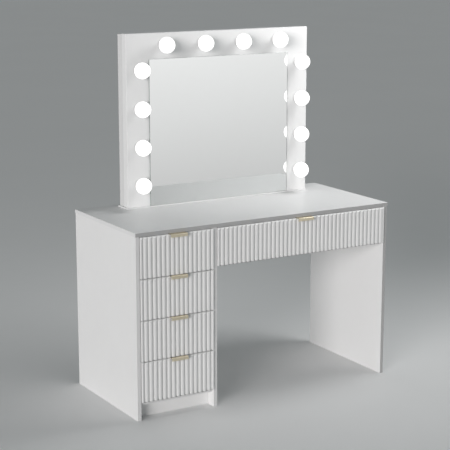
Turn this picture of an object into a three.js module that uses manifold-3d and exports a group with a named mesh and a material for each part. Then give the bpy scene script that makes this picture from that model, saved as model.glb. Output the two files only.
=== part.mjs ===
// Vanity desk with a lit mirror, in millimetres.
// +X runs to the right along the front, +Y runs back to the wall, +Z is up, and the floor is z = 0.
// The desk is laid out from the front edges of its side panels (y = 0) and the middle of its width
// (x = 0), and the whole group is moved at the end so that its origin is under its middle.

import * as THREE from 'three';
import { mergeVertices } from 'three/addons/utils/BufferGeometryUtils.js';
import Module from 'manifold-3d';

const wasm = await Module();
wasm.setup();

// ---- boards and seams ----------------------------------------------------------------------
const board = 16; // melamine-faced board of the carcass
const hardboard = 3; // drawer bottoms and back panels
const wrap_board = 12; // folded drawer sides
const seam = 0.3; // hairline between pieces that meet

// ---- desk ----------------------------------------------------------------------------------
const desk_width = 1200;
const desk_depth = 544;
const desk_height = 755;
const top_overhang = 2; // over both side panels and over their front edges
const pedestal_width = 360; // over both of its side panels
const pedestal_drawers = 4;
const plinth_height = 60;
const plinth_recess = 45;
const back_inset = 10; // from the rear edge of the panels to the hardboard back
const back_groove_depth = 8;
const knee_rail_height = 140;

// ---- drawer fronts -------------------------------------------------------------------------
const front_thickness = 18;
const front_proud = 7; // how far the ribs stand out of the side panels
const front_side_gap = 2;
const front_gap = 2.5; // between two fronts, and under the top
const front_bottom_drop = 1; // lowest front, below the top face of the bottom panel behind it
const wide_front_height = 153;

// ---- flutes --------------------------------------------------------------------------------
const flute_pitch = 20;
const flute_margin = 12; // from a front's left edge to the middle of its first groove
const groove_width = 4;
const groove_step = 1.5; // square part of the groove below the ribs
const rib_crown = 2.5; // how far a rib rises over its own width

// ---- drawer boxes and runners --------------------------------------------------------------
const runner_space = 12.5; // each side of a drawer box
const runner_height = 28;
const runner_flange = 10;
const runner_lip = 4;
const runner_sheet = 1.5;
const runner_step = 50; // runners come in steps of this length
const runner_rear_room = 20;
const runner_drop = 3; // below the drawer side
const box_lift = 17; // from the bottom of a front to the bottom of its box
const box_drop = 36; // from the top of a front to the top of its box
const bottom_lift = 9; // from the bottom of a box to its hardboard bottom
const bottom_groove_depth = 6;

// ---- pulls ---------------------------------------------------------------------------------
const pull_length = 74;
const pull_sheet = 1.5;
const pull_reach = 15; // in front of the ribs
const pull_lip = 11; // hanging lip, below the top edge of the front
const pull_tail = 18; // fixing leg behind the front
const pull_bend = 1; // inside radius at the lip

// ---- mirror unit ---------------------------------------------------------------------------
const mirror_width = 880;
const mirror_height = 720; // over the base strip
const mirror_offset = 24; // to the right of the middle of the desk
const mirror_back_gap = 41; // from the back edge of the top
const mirror_board = 34; // front board, built up from two layers
const mirror_box_depth = 46; // wiring box behind it, with its cover
const mirror_box_inset = 4;
const base_strip = 6;
const base_strip_lip = 5; // in front of the board and at its ends
const stile_width = 103.5;
const top_rail_height = 106;
const glass_thickness = 4;

// ---- lamps ---------------------------------------------------------------------------------
const lamps_per_side = 4;
const lamps_on_top = 4;
const globe_diameter = 66;
const globe_reach = 45; // from the face of the board to the middle of the globe
const lamp_neck_radius = 14;
const lamp_cap_radius = 13;
const lamp_cap_length = 24;
const lamp_hole_radius = 20;
const side_lamp_foot = 101; // lowest side lamp, above the desk top
const side_lamp_drop = 146.5; // highest side lamp, below the top of the mirror unit
const top_lamp_drop = 48;
const top_lamp_inset = 165.5; // outer lamps of the top row, from the ends of the board

// ---- fixings and power ---------------------------------------------------------------------
const bracket_width = 40;
const bracket_sheet = 2;
const bracket_leg = 60;
const bracket_inset = 150; // from the ends of the mirror unit
const inlet_flange = new THREE.Vector3(50, 3, 28);
const inlet_body = new THREE.Vector3(30, 20, 20);
const inlet_socket = new THREE.Vector3(20, 14, 9);
const inlet_height = 60; // middle of the inlet above the desk top
const inlet_inset = 90; // from the right end of the wiring box

// ---- places worked out from the sizes above ------------------------------------------------
const side_depth = desk_depth - top_overhang;
const under_top = desk_height - board;
const left_outer = -desk_width / 2 + top_overhang;
const right_outer = desk_width / 2 - top_overhang;
const pedestal_left = left_outer + board;
const pedestal_right = left_outer + pedestal_width - board;
const knee_left = left_outer + pedestal_width;
const knee_right = right_outer - board;
const front_back = front_thickness - front_proud;
const back_front = side_depth - back_inset - hardboard;
const carcass_bottom_top = plinth_height + board;
const fronts_top = under_top - front_gap;
const fronts_bottom = carcass_bottom_top - front_bottom_drop;
const fronts_run = fronts_top - fronts_bottom - front_gap * (pedestal_drawers - 1);
const pedestal_front_height = fronts_run / pedestal_drawers;
const runner_room = back_front - front_back - runner_rear_room;
const runner_length = Math.floor(runner_room / runner_step) * runner_step;

const mirror_back = side_depth - mirror_back_gap;
const mirror_front = mirror_back - mirror_board - mirror_box_depth;
const mirror_top = desk_height + mirror_height;
const mirror_foot = desk_height + base_strip + seam;
const mirror_half = mirror_width / 2;
const box_back = mirror_back - hardboard;
const box_half = mirror_half - mirror_box_inset;
const box_top = mirror_top - mirror_box_inset;

// ---- finishes ------------------------------------------------------------------------------
function whiteBoard() {
  return new THREE.MeshStandardMaterial({ color: 0xe9eaea, roughness: 0.55, metalness: 0 });
}

function whiteHardboard() {
  return new THREE.MeshStandardMaterial({ color: 0xdcdcda, roughness: 0.7, metalness: 0 });
}

function paleBrass() {
  return new THREE.MeshStandardMaterial({ color: 0xcdb88f, roughness: 0.35, metalness: 0.9 });
}

function coatedSteel() {
  return new THREE.MeshStandardMaterial({ color: 0xe4e4e2, roughness: 0.4, metalness: 0.2 });
}

function mirrorGlass() {
  return new THREE.MeshStandardMaterial({ color: 0xd8dadb, roughness: 0.03, metalness: 1 });
}

function opalGlass() {
  return new THREE.MeshStandardMaterial({
    color: 0xffffff,
    roughness: 0.3,
    metalness: 0,
    emissive: 0xffffff,
  });
}

function blackPlastic() {
  return new THREE.MeshStandardMaterial({ color: 0x1c1c1e, roughness: 0.45, metalness: 0 });
}

// ---- solids --------------------------------------------------------------------------------
const along_x = new THREE.Matrix4().makeBasis(
  new THREE.Vector3(0, 1, 0),
  new THREE.Vector3(0, 0, 1),
  new THREE.Vector3(1, 0, 0),
);
const along_y = new THREE.Matrix4().makeBasis(
  new THREE.Vector3(1, 0, 0),
  new THREE.Vector3(0, 0, 1),
  new THREE.Vector3(0, -1, 0),
);

function extrude(shape, depth, arc_steps = 3) {
  return new THREE.ExtrudeGeometry(shape, {
    depth,
    steps: 1,
    bevelEnabled: false,
    curveSegments: arc_steps,
  });
}

// A section drawn in Y and Z, pushed along +X from x = 0.
function extrudeAlongX(shape, length, arc_steps) {
  return extrude(shape, length, arc_steps).applyMatrix4(along_x);
}

// An outline drawn in X and Z, pushed along +Y from y = 0.
function extrudeAlongY(shape, depth, arc_steps) {
  return extrude(shape, depth, arc_steps).applyMatrix4(along_y).translate(0, depth, 0);
}

function outline(points) {
  return new THREE.Shape(points.map(([across, up]) => new THREE.Vector2(across, up)));
}

function blockBetween(low, high) {
  const size = high.clone().sub(low);
  const middle = high.clone().add(low).multiplyScalar(0.5);
  return new THREE.BoxGeometry(size.x, size.y, size.z).translate(middle.x, middle.y, middle.z);
}

function toSolid(geometry) {
  const bare = geometry.clone();
  bare.deleteAttribute('normal');
  bare.deleteAttribute('uv');
  const merged = mergeVertices(bare);
  const mesh = new wasm.Mesh({
    numProp: 3,
    vertProperties: new Float32Array(merged.attributes.position.array),
    triVerts: new Uint32Array(merged.index.array),
  });
  return new wasm.Manifold(mesh);
}

function toGeometry(solid) {
  const mesh = solid.getMesh();
  const geometry = new THREE.BufferGeometry();
  geometry.setAttribute('position', new THREE.BufferAttribute(mesh.vertProperties, 3));
  geometry.setIndex(new THREE.BufferAttribute(mesh.triVerts, 1));
  geometry.computeVertexNormals();
  return geometry;
}

function cut(geometry, ...tools) {
  const solid = tools.reduce((left, tool) => left.subtract(toSolid(tool)), toSolid(geometry));
  return toGeometry(solid);
}

function join(first, second) {
  return toGeometry(toSolid(first).add(toSolid(second)));
}

const part = new THREE.Group();

function addPiece(parent, name, geometry, material, x = 0, y = 0, z = 0) {
  const mesh = new THREE.Mesh(geometry, material);
  mesh.name = name;
  mesh.position.set(x, y, z);
  parent.add(mesh);
}

function addBoard(parent, name, x_span, y_span, z_span, material = whiteBoard()) {
  const size = [x_span, y_span, z_span].map(([low, high]) => high - low);
  const middle = [x_span, y_span, z_span].map(([low, high]) => (low + high) / 2);
  addPiece(parent, name, new THREE.BoxGeometry(...size), material, ...middle);
}

// ---- carcass -------------------------------------------------------------------------------
// Plan outline of a side panel. groove_side is 1 for a groove in its right face, -1 for its left
// face and 0 for none. The groove holds the edge of the hardboard back.
function sidePanelGeometry(groove_side) {
  const half = board / 2;
  const groove_front = back_front - seam;
  const groove_back = back_front + hardboard + seam;
  const groove_floor = half - back_groove_depth;
  const points = [
    [-half, 0],
    [half, 0],
    [half, groove_front],
    [groove_floor, groove_front],
    [groove_floor, groove_back],
    [half, groove_back],
    [half, side_depth],
    [-half, side_depth],
  ];
  const plain = points.filter((point, index) => groove_side !== 0 || index < 2 || index > 5);
  const side = groove_side === 0 ? 1 : groove_side;
  return extrude(outline(plain.map(([x, y]) => [side * x, y])), under_top - seam);
}

function addCarcass() {
  const half = board / 2;
  const top_x = [-desk_width / 2, desk_width / 2];
  addBoard(part, 'top_panel', top_x, [-top_overhang, side_depth], [under_top, desk_height]);
  addPiece(part, 'left_side_panel', sidePanelGeometry(1), whiteBoard(), left_outer + half);
  addPiece(part, 'divider_panel', sidePanelGeometry(-1), whiteBoard(), knee_left - half);
  addPiece(part, 'right_side_panel', sidePanelGeometry(0), whiteBoard(), right_outer - half);

  const pedestal_x = [pedestal_left + seam, pedestal_right - seam];
  const bottom_y = [front_back + seam, back_front - seam];
  addBoard(part, 'pedestal_bottom_panel', pedestal_x, bottom_y, [
    plinth_height + seam,
    carcass_bottom_top,
  ]);
  addBoard(part, 'plinth_board', pedestal_x, [plinth_recess, plinth_recess + board], [
    0,
    plinth_height,
  ]);

  const reach = back_groove_depth - seam;
  addBoard(
    part,
    'pedestal_back_panel',
    [pedestal_left - reach, pedestal_right + reach],
    [back_front, back_front + hardboard],
    [plinth_height, under_top - seam],
    whiteHardboard(),
  );
  addBoard(
    part,
    'knee_back_rail',
    [knee_left + seam, knee_right - seam],
    [side_depth - board, side_depth],
    [under_top - knee_rail_height, under_top - seam],
  );
}

// ---- drawers -------------------------------------------------------------------------------
// Plan outline of a fluted front: x runs from its left edge, y from the crown of its ribs back.
// Ribs are circular arcs between square grooves, and both ends finish in a flat land.
function flutedOutline(width) {
  const grooves = Math.floor((width - 2 * flute_margin) / flute_pitch) + 1;
  const half_rib = (flute_pitch - groove_width) / 2;
  const radius = (half_rib ** 2 + rib_crown ** 2) / (2 * rib_crown);
  const half_angle = Math.asin(half_rib / radius);
  const down = 1.5 * Math.PI;
  const shape = new THREE.Shape();
  shape.moveTo(0, front_thickness);
  shape.lineTo(0, 0);
  for (let index = 0; index < grooves; index += 1) {
    const middle = flute_margin + index * flute_pitch;
    const rib_before = middle - flute_pitch / 2;
    const left_edge = middle - groove_width / 2;
    const right_edge = middle + groove_width / 2;
    if (index === 0) {
      shape.lineTo(rib_before, 0);
      shape.absarc(rib_before, radius, radius, down, down + half_angle, false);
    } else {
      shape.absarc(rib_before, radius, radius, down - half_angle, down + half_angle, false);
    }
    shape.lineTo(left_edge, rib_crown + groove_step);
    shape.lineTo(right_edge, rib_crown + groove_step);
    shape.lineTo(right_edge, rib_crown);
  }
  const last_rib = flute_margin + (grooves - 0.5) * flute_pitch;
  shape.absarc(last_rib, radius, radius, down - half_angle, down, false);
  shape.lineTo(width, 0);
  shape.lineTo(width, front_thickness);
  return shape;
}

// Section of an edge pull: y from the crown of the ribs, z from the underside of its web. A lip
// hangs in front, the flat web lies on the front's top edge and a leg is screwed on behind it.
function pullSection() {
  const outer_bend = pull_bend + pull_sheet;
  const bend_y = -pull_reach + outer_bend;
  const leg_y = front_thickness + seam;
  const shape = new THREE.Shape();
  shape.moveTo(-pull_reach, -pull_lip);
  shape.lineTo(-pull_reach, -pull_bend);
  shape.absarc(bend_y, -pull_bend, outer_bend, Math.PI, Math.PI / 2, true);
  shape.lineTo(leg_y, pull_sheet);
  shape.absarc(leg_y, 0, pull_sheet, Math.PI / 2, 0, true);
  shape.lineTo(leg_y + pull_sheet, -pull_tail);
  shape.lineTo(leg_y, -pull_tail);
  shape.lineTo(leg_y, 0);
  shape.lineTo(bend_y, 0);
  shape.absarc(bend_y, -pull_bend, pull_bend, Math.PI / 2, Math.PI, false);
  shape.lineTo(bend_y - pull_bend, -pull_lip);
  return shape;
}

// Plan outline of a drawer box: two sides and a back, folded from one board, open at the front.
function wrapOutline(width, depth) {
  return outline([
    [0, 0],
    [wrap_board, 0],
    [wrap_board, depth - wrap_board],
    [width - wrap_board, depth - wrap_board],
    [width - wrap_board, 0],
    [width, 0],
    [width, depth],
    [0, depth],
  ]);
}

// Section of the cabinet runner: x from the panel that it is screwed to, z from its lowest edge.
function runnerSection() {
  return outline([
    [0, 0],
    [runner_flange, 0],
    [runner_flange, runner_lip],
    [runner_flange - runner_sheet, runner_lip],
    [runner_flange - runner_sheet, runner_sheet],
    [runner_sheet, runner_sheet],
    [runner_sheet, runner_height],
    [0, runner_height],
  ]);
}

function addRunners(name, opening_left, opening_right, z) {
  const section = extrudeAlongY(runnerSection(), runner_length);
  const y = front_back + seam;
  const mirrored = extrudeAlongY(runnerSection(), runner_length).rotateZ(Math.PI);
  addPiece(part, `${name}_runner_left`, section, coatedSteel(), opening_left + seam, y, z);
  addPiece(
    part,
    `${name}_runner_right`,
    mirrored,
    coatedSteel(),
    opening_right - seam,
    y + runner_length,
    z,
  );
}

// One drawer between two panels: its fluted front, pull, folded box and hardboard bottom.
function addDrawer(name, opening_left, opening_right, bottom, height) {
  const width = opening_right - opening_left - 2 * front_side_gap;
  const drawer = new THREE.Group();
  drawer.position.set(opening_left + front_side_gap, -front_proud, bottom);

  const box_left = runner_space - front_side_gap;
  const box_width = width - 2 * box_left;
  const box_height = height - box_lift - box_drop;
  const inner_left = box_left + wrap_board;
  const inner_right = box_left + box_width - wrap_board;
  const box_rear = front_thickness + seam + runner_length;
  const panel_z = box_lift + bottom_lift;
  const reach = bottom_groove_depth - seam;
  const panel_low = new THREE.Vector3(inner_left - reach, front_thickness - reach, panel_z);
  const panel_high = new THREE.Vector3(
    inner_right + reach,
    box_rear - wrap_board + reach,
    panel_z + hardboard,
  );
  const play = new THREE.Vector3(seam, seam, seam);
  const groove = blockBetween(panel_low.clone().sub(play), panel_high.clone().add(play));

  const front = extrude(flutedOutline(width), height);
  addPiece(drawer, `${name}_front`, cut(front, groove), whiteBoard());

  const box = extrude(wrapOutline(box_width, runner_length), box_height);
  box.translate(box_left, front_thickness + seam, box_lift);
  addPiece(drawer, `${name}_box`, cut(box, groove), whiteBoard());

  const bottom_panel = blockBetween(panel_low, panel_high);
  addPiece(drawer, `${name}_bottom`, bottom_panel, whiteHardboard());

  const pull = extrudeAlongX(pullSection(), pull_length);
  const pull_x = (width - pull_length) / 2;
  addPiece(drawer, `${name}_pull`, pull, paleBrass(), pull_x, 0, height + seam);
  part.add(drawer);

  addRunners(name, opening_left, opening_right, bottom + box_lift - runner_drop);
}

function addDrawers() {
  const step = pedestal_front_height + front_gap;
  for (let index = 0; index < pedestal_drawers; index += 1) {
    const bottom = fronts_top - pedestal_front_height - index * step;
    const name = `drawer_${index + 1}`;
    addDrawer(name, pedestal_left, pedestal_right, bottom, pedestal_front_height);
  }
  const wide_bottom = fronts_top - wide_front_height;
  addDrawer('wide_drawer', knee_left, knee_right, wide_bottom, wide_front_height);
}

// ---- lamps ---------------------------------------------------------------------------------
// Middles of the lamps in the plane of the mirror board: x from its middle, z from the floor.
function lampPlaces() {
  const places = [];
  const column = mirror_half - stile_width / 2;
  const column_run = mirror_height - side_lamp_foot - side_lamp_drop;
  for (let index = 0; index < lamps_per_side; index += 1) {
    const z = desk_height + side_lamp_foot + (index * column_run) / (lamps_per_side - 1);
    places.push({ name: `lamp_left_${index + 1}`, x: -column, z });
    places.push({ name: `lamp_right_${index + 1}`, x: column, z });
  }
  const row_end = mirror_half - top_lamp_inset;
  for (let index = 0; index < lamps_on_top; index += 1) {
    const x = -row_end + (index * 2 * row_end) / (lamps_on_top - 1);
    places.push({ name: `lamp_top_${index + 1}`, x, z: mirror_top - top_lamp_drop });
  }
  return places;
}

// A globe lamp turned about its own axis: screw cap, neck and round globe. The profile starts at
// the end of the cap, which is at height -lamp_cap_length, and the board's face is at height 0.
function lampGeometry() {
  const radius = globe_diameter / 2;
  const neck_angle = Math.asin(lamp_neck_radius / radius);
  const profile = [
    new THREE.Vector2(0, -lamp_cap_length),
    new THREE.Vector2(lamp_cap_radius, -lamp_cap_length),
    new THREE.Vector2(lamp_cap_radius, 0),
    new THREE.Vector2(lamp_neck_radius, 0),
  ];
  const steps = 9;
  for (let index = 0; index <= steps; index += 1) {
    const angle = neck_angle + ((Math.PI - neck_angle) * index) / steps;
    const across = index === steps ? 0 : radius * Math.sin(angle);
    profile.push(new THREE.Vector2(across, globe_reach - radius * Math.cos(angle)));
  }
  return new THREE.LatheGeometry(profile, 18).rotateX(Math.PI);
}

// ---- mirror unit ---------------------------------------------------------------------------
function mirrorBoardShape() {
  const bottom = mirror_foot;
  const shape = outline([
    [-mirror_half, bottom],
    [mirror_half, bottom],
    [mirror_half, mirror_top],
    [-mirror_half, mirror_top],
  ]);
  for (const { x, z } of lampPlaces()) {
    const hole = new THREE.Path();
    hole.absarc(x, z, lamp_hole_radius, 0, 2 * Math.PI, true);
    shape.holes.push(hole);
  }
  return shape;
}

// A mains inlet: a flange on the cover, a body through it, and the socket that takes the lead.
function inletGeometry() {
  const flange = new THREE.BoxGeometry(inlet_flange.x, inlet_flange.y, inlet_flange.z);
  flange.translate(0, inlet_flange.y / 2, 0);
  const body = new THREE.BoxGeometry(inlet_body.x, inlet_body.y, inlet_body.z);
  body.translate(0, inlet_flange.y - inlet_body.y / 2, 0);
  const socket = new THREE.BoxGeometry(inlet_socket.x, inlet_socket.y * 2, inlet_socket.z);
  socket.translate(0, inlet_flange.y, 0);
  return cut(join(flange, body), socket);
}

function bracketGeometry() {
  const foot = mirror_back_gap - seam - bracket_sheet;
  const section = outline([
    [0, 0],
    [foot, 0],
    [foot, bracket_sheet],
    [bracket_sheet, bracket_sheet],
    [bracket_sheet, bracket_leg],
    [0, bracket_leg],
  ]);
  return extrudeAlongX(section, bracket_width);
}

function addMirrorUnit() {
  const unit = new THREE.Group();
  unit.position.x = mirror_offset;

  const strip_half = mirror_half + base_strip_lip;
  const strip_z = [desk_height + seam, desk_height + base_strip];
  addBoard(
    unit,
    'mirror_base_strip',
    [-strip_half, strip_half],
    [mirror_front - base_strip_lip, mirror_back],
    strip_z,
  );

  const front_board = extrudeAlongY(mirrorBoardShape(), mirror_board, 10);
  addPiece(unit, 'mirror_front_board', front_board, whiteBoard(), 0, mirror_front);

  const glass_half = mirror_half - stile_width;
  addBoard(
    unit,
    'mirror_glass',
    [-glass_half, glass_half],
    [mirror_front - seam - glass_thickness, mirror_front - seam],
    [mirror_foot, mirror_top - top_rail_height],
    mirrorGlass(),
  );

  const box_y = [mirror_front + mirror_board + seam, box_back];
  const inner_half = box_half - board;
  addBoard(unit, 'mirror_box_left', [-box_half, -inner_half], box_y, [mirror_foot, box_top]);
  addBoard(unit, 'mirror_box_right', [inner_half, box_half], box_y, [mirror_foot, box_top]);
  addBoard(unit, 'mirror_box_top', [-inner_half + seam, inner_half - seam], box_y, [
    box_top - board,
    box_top,
  ]);

  const inlet_x = box_half - inlet_inset;
  const inlet_z = desk_height + inlet_height;
  const inlet_cut = new THREE.BoxGeometry(
    inlet_body.x + 2 * seam,
    4 * hardboard,
    inlet_body.z + 2 * seam,
  );
  inlet_cut.translate(inlet_x, box_back, inlet_z);
  const cover = blockBetween(
    new THREE.Vector3(-box_half, box_back + seam, mirror_foot),
    new THREE.Vector3(box_half, mirror_back, box_top),
  );
  addPiece(unit, 'mirror_back_cover', cut(cover, inlet_cut), whiteHardboard());
  addPiece(
    unit,
    'power_inlet',
    inletGeometry(),
    blackPlastic(),
    inlet_x,
    mirror_back + seam,
    inlet_z,
  );

  const bracket_x = mirror_half - bracket_inset;
  const bracket_y = mirror_back + seam;
  const bracket_z = desk_height + seam;
  const names = ['mirror_bracket_left', 'mirror_bracket_right'];
  names.forEach((name, index) => {
    const x = (index * 2 - 1) * bracket_x - bracket_width / 2;
    addPiece(unit, name, bracketGeometry(), coatedSteel(), x, bracket_y, bracket_z);
  });

  for (const { name, x, z } of lampPlaces()) {
    addPiece(unit, name, lampGeometry(), opalGlass(), x, mirror_front, z);
  }
  part.add(unit);
}

addCarcass();
addDrawers();
addMirrorUnit();

const foremost = -front_proud - pull_reach;
part.position.y = -(foremost + side_depth) / 2;

export default part;
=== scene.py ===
# %% [markdown]
# # A dressing table with a lit mirror
# The real table is flat-pack furniture: white boards for the carcass, five fluted drawer fronts,
# thin metal edge pulls, and a mirror unit with twelve opal lamps that stands on the top.
# The maker's solids are already measured and jointed, so they are loaded as a fixed frame. Every
# visible piece is then made again round that frame, with softened edges and real finishes.

# %% Load the frame
import math

import bmesh
import bpy
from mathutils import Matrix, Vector


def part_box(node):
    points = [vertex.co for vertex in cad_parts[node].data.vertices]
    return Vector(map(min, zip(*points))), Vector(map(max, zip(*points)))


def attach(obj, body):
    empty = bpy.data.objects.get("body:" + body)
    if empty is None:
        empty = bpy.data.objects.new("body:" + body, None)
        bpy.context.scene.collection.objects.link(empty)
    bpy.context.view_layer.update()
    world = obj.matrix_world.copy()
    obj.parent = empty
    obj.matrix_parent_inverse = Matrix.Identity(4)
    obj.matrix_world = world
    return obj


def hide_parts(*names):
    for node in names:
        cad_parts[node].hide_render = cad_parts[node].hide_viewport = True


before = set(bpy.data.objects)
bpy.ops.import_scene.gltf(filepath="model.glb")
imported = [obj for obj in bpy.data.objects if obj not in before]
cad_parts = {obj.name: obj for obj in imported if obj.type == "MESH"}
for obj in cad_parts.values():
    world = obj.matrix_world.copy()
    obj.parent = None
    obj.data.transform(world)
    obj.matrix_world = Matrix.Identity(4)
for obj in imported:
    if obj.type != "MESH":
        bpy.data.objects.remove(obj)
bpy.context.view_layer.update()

mm = 0.001

# %% [markdown]
# # The camera
# A catalogue view of furniture is taken from some metres away with a long lens, so that upright
# edges stay nearly upright. The camera stands to the left of the table, a little above the
# mirror, and looks slightly down. Setting it first lets every later step be judged in its view.

# %% Camera
def put_in_scene(name, data):
    made = bpy.data.objects.new(name, data)
    bpy.context.scene.collection.objects.link(made)
    return made


camera_data = bpy.data.cameras.new("catalogue_camera")
camera_data.lens = 109.72
camera_data.sensor_width = 36.0
camera_data.clip_end = 200.0
camera = put_in_scene("catalogue_camera", camera_data)
camera.location = (-2.913, -4.809, 1.880)
camera.rotation_euler = (math.radians(77.9), 0.0, math.radians(-30.8))
bpy.context.scene.camera = camera
print("camera at", [round(v, 3) for v in camera.location], "lens", round(camera_data.lens, 2))

# %% [markdown]
# # Small tools for finishes
# A finish is a tree of shader nodes. Two short helpers keep the recipes readable. One adds a node
# and takes either a number or another node's output for each socket. The other starts a node
# group with named sockets. A group holds an effect that several finishes share, such as a grain,
# and each finish sets its own values on it.

# %% Helpers for nodes
COLOUR, VALUE = "NodeSocketColor", "NodeSocketFloat"
MIX_FACTOR, MIX_A, MIX_B, MIX_RESULT = 0, 6, 7, 2  # a colour mix has its sockets at these numbers


def add_node(tree, kind, sockets=None, **settings):
    made = tree.nodes.new(kind)
    for name, value in settings.items():
        setattr(made, name, value)
    for name, value in (sockets or {}).items():
        if isinstance(value, bpy.types.NodeSocket):
            tree.links.new(value, made.inputs[name])
        else:
            made.inputs[name].default_value = value
    return made


def start_group(name, takes, gives):
    tree = bpy.data.node_groups.new(name, "ShaderNodeTree")
    for label, kind, value in takes:
        socket = tree.interface.new_socket(name=label, in_out="INPUT", socket_type=kind)
        socket.default_value = value
    for label, kind in gives:
        tree.interface.new_socket(name=label, in_out="OUTPUT", socket_type=kind)
    return tree, tree.nodes.new("NodeGroupInput").outputs


def end_group(tree, **gives):
    add_node(tree, "NodeGroupOutput", gives)
    print("group:", tree.name, "gives", ", ".join(gives))
    return tree


def own_place(tree):
    """Coordinates that stay with a piece when it moves."""
    return add_node(tree, "ShaderNodeTexCoord").outputs["Object"]


def arithmetic(tree, operation, first, second):
    return add_node(tree, "ShaderNodeMath", {0: first, 1: second}, operation=operation).outputs[0]


def product(tree, first, second):
    return arithmetic(tree, "MULTIPLY", first, second)


def total(tree, first, second):
    return arithmetic(tree, "ADD", first, second)


def spread(tree, value, low, high, to_low=0.0, to_high=1.0):
    limits = {"Value": value, "From Min": low, "From Max": high, "To Min": to_low, "To Max": to_high}
    return add_node(tree, "ShaderNodeMapRange", limits).outputs["Result"]


def noise(tree, place, scale, detail=2.0):
    sockets = {"Vector": place, "Scale": scale, "Detail": detail}
    return add_node(tree, "ShaderNodeTexNoise", sockets).outputs["Fac"]


def stretched_noise(tree, place, stretch, scale, detail=2.0):
    drawn = add_node(tree, "ShaderNodeMapping", {"Vector": place, "Scale": stretch})
    return noise(tree, drawn.outputs["Vector"], scale, detail)


def blend_colour(tree, factor, first, second):
    sockets = {MIX_FACTOR: factor, MIX_A: first, MIX_B: second}
    return add_node(tree, "ShaderNodeMix", sockets, data_type="RGBA").outputs[MIX_RESULT]


# %% [markdown]
# # Mottle: no white is one white
# A decor paper, a lacquer or a foil is never one even tone. Broad clouds come from the press or
# the spray gun, and finer ones from the board below. The group mixes two close colours by two
# sizes of noise, and gives the same clouds as a mask, so that the gloss varies with the tone.

# %% Mottle group
def build_mottle():
    takes = [
        ("Light", COLOUR, (0.8, 0.8, 0.8, 1.0)),
        ("Dark", COLOUR, (0.7, 0.7, 0.7, 1.0)),
        ("Clouds per Metre", VALUE, 4.0),
    ]
    tree, given = start_group("mottle", takes, [("Colour", COLOUR), ("Mask", VALUE)])
    place = own_place(tree)
    broad = noise(tree, place, given["Clouds per Metre"], 3.0)
    closer = product(tree, given["Clouds per Metre"], 11.0)
    fine = noise(tree, place, closer, 2.0)
    both = total(tree, product(tree, fine, 0.35), broad)
    mask = spread(tree, both, 0.45, 0.9)
    colour = blend_colour(tree, mask, given["Dark"], given["Light"])
    return end_group(tree, Colour=colour, Mask=mask)


MOTTLE = build_mottle()

# %% [markdown]
# # Pressed grain
# Melamine is cured against an etched steel plate, and powder coat and moulded plastic set with a
# skin of their own. All of them are a field of tiny pits and bumps. Rounded cells make the pits
# and noise breaks them up. The height feeds a Bump node in each finish.

# %% Grain group
def build_grain():
    takes = [("Pits per Metre", VALUE, 900.0), ("Unevenness", VALUE, 0.4)]
    tree, given = start_group("pressed_grain", takes, [("Height", VALUE)])
    place = own_place(tree)
    sockets = {"Vector": place, "Scale": given["Pits per Metre"], "Randomness": 1.0}
    pits = add_node(tree, "ShaderNodeTexVoronoi", sockets, feature="SMOOTH_F1").outputs["Distance"]
    waves = noise(tree, place, product(tree, given["Pits per Metre"], 0.12), 3.0)
    uneven = product(tree, waves, given["Unevenness"])
    return end_group(tree, Height=total(tree, pits, uneven))


GRAIN = build_grain()

# %% [markdown]
# # Handling and dust
# A used desk is wiped, not scrubbed. Fingers leave faint smears that change the gloss, and dust
# settles on whatever faces up. The first mask is smears. The second is dust, which is only there
# where the surface's own normal points up.

# %% Handling group
def build_handling():
    takes = [("Smears per Metre", VALUE, 14.0), ("Dust", VALUE, 0.0)]
    gives = [("Smears", VALUE), ("Dust", VALUE)]
    tree, given = start_group("handling", takes, gives)
    place = own_place(tree)
    rough = stretched_noise(tree, place, (1.0, 0.35, 1.0), given["Smears per Metre"], 6.0)
    smears = spread(tree, rough, 0.52, 0.72)
    facing = add_node(tree, "ShaderNodeNewGeometry").outputs["Normal"]
    up = add_node(tree, "ShaderNodeSeparateXYZ", {"Vector": facing}).outputs["Z"]
    flat = spread(tree, up, 0.6, 0.95)
    specks = spread(tree, noise(tree, place, 420.0, 4.0), 0.5, 0.75)
    dust = product(tree, product(tree, flat, specks), given["Dust"])
    return end_group(tree, Smears=smears, Dust=dust)


HANDLING = build_handling()

# %% [markdown]
# # Fibres and threads
# Hardboard shows its fibres through the paint, and the foil on drawer sides is printed and
# embossed like fine linen. Both are thin lines, so one group crosses two sets of stretched noise
# and each finish chooses how many lines there are and how much they cross.

# %% Fibre group
def build_fibres():
    takes = [("Lines per Metre", VALUE, 700.0), ("Crossing", VALUE, 1.0)]
    tree, given = start_group("fibres", takes, [("Mask", VALUE), ("Height", VALUE)])
    place = own_place(tree)
    across = stretched_noise(tree, place, (0.06, 0.06, 1.0), given["Lines per Metre"])
    upward = stretched_noise(tree, place, (1.0, 1.0, 0.06), given["Lines per Metre"])
    crossed = product(tree, upward, given["Crossing"])
    lines = total(tree, across, crossed)
    return end_group(tree, Mask=spread(tree, lines, 0.4, 1.3), Height=lines)


FIBRES = build_fibres()

# %% [markdown]
# # From recipe to finish
# Each finish below is one Principled shader. Numbers that are the same all over sit on the
# shader's own sockets. What varies over the surface, which is colour, roughness and bump, comes
# from the groups. Small helpers wire the usual parts, and one of them makes a whole plain coat,
# because bands, paints and plastics differ only in their numbers.

# %% Helpers for a finish
def use_group(tree, group, **values):
    made = tree.nodes.new("ShaderNodeGroup")
    made.node_tree = group
    for name, value in values.items():
        made.inputs[name.replace("_", " ")].default_value = value
    return made.outputs


def shader_of(material):
    return material.node_tree.nodes["Principled BSDF"]


def start_finish(name, **constants):
    material = bpy.data.materials.new(name)
    material.use_nodes = True
    shader = shader_of(material)
    for label, value in constants.items():
        shader.inputs[label.replace("_", " ")].default_value = value
    print("finish:", name)
    return material, material.node_tree, shader


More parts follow.
